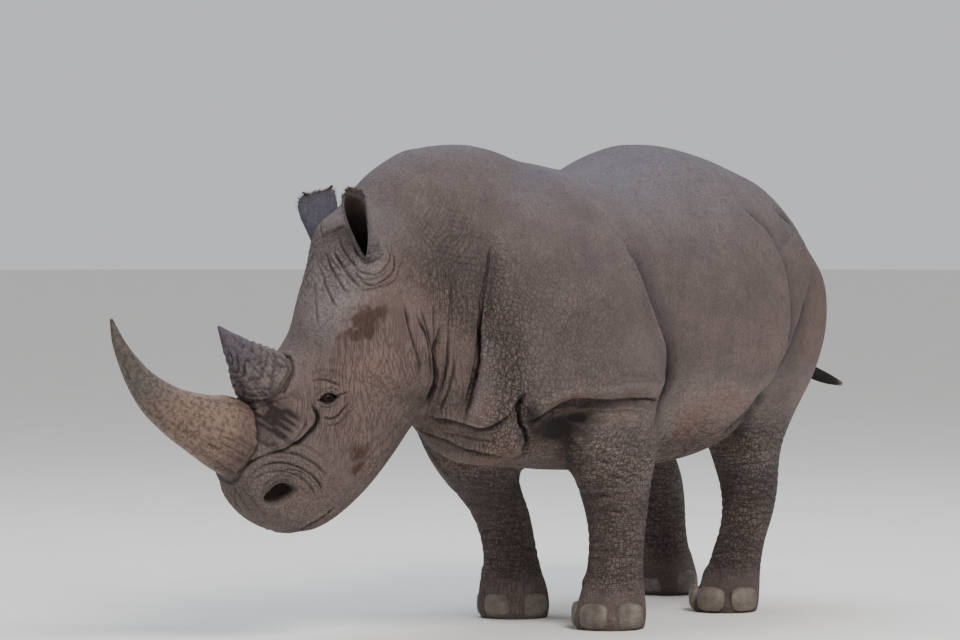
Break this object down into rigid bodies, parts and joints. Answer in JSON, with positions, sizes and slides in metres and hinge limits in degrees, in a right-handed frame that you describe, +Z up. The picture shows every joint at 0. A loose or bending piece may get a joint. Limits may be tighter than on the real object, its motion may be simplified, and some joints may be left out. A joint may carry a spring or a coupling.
{
  "type": "white rhinoceros",
  "caption": "Life-size white rhinoceros bull, standing with its square-lipped head held low and turned a little to its right, a long curved front horn and a short rear horn.",
  "frame": {"origin": "on the ground, at the middle of the whole animal's bounding box", "axes": "+Z up; the animal faces -X, so +X runs back along the body to the tail; its left side is towards -Y"},
  "size_m": [3.5903, 1.3471, 1.7715],
  "materials": {
    "skin": "thick dry grey-brown hide, wrinkled and dusty",
    "horn": "fibrous keratin, darker towards the tip",
    "nail": "dull worn keratin",
    "eye": "wet, nearly black",
    "hair": "coarse black hair"
  },
  "bodies": {
    "root": {"head": "skin", "neck": "skin", "trunk": "skin", "tail": "skin", "leg_front_left": "skin", "leg_front_right": "skin", "leg_hind_left": "skin", "leg_hind_right": "skin", "ear_left": "skin", "ear_right": "skin", "eye_left": "eye", "eye_right": "eye", "horn_front": "horn", "horn_rear": "horn", "tail_tuft": "hair", "nail_front_left_outer": "nail", "nail_front_left_middle": "nail", "nail_front_left_inner": "nail", "nail_front_right_outer": "nail", "nail_front_right_middle": "nail", "nail_front_right_inner": "nail", "nail_hind_left_outer": "nail", "nail_hind_left_middle": "nail", "nail_hind_left_inner": "nail", "nail_hind_right_outer": "nail", "nail_hind_right_middle": "nail", "nail_hind_right_inner": "nail"}
  },
  "joints": []
}
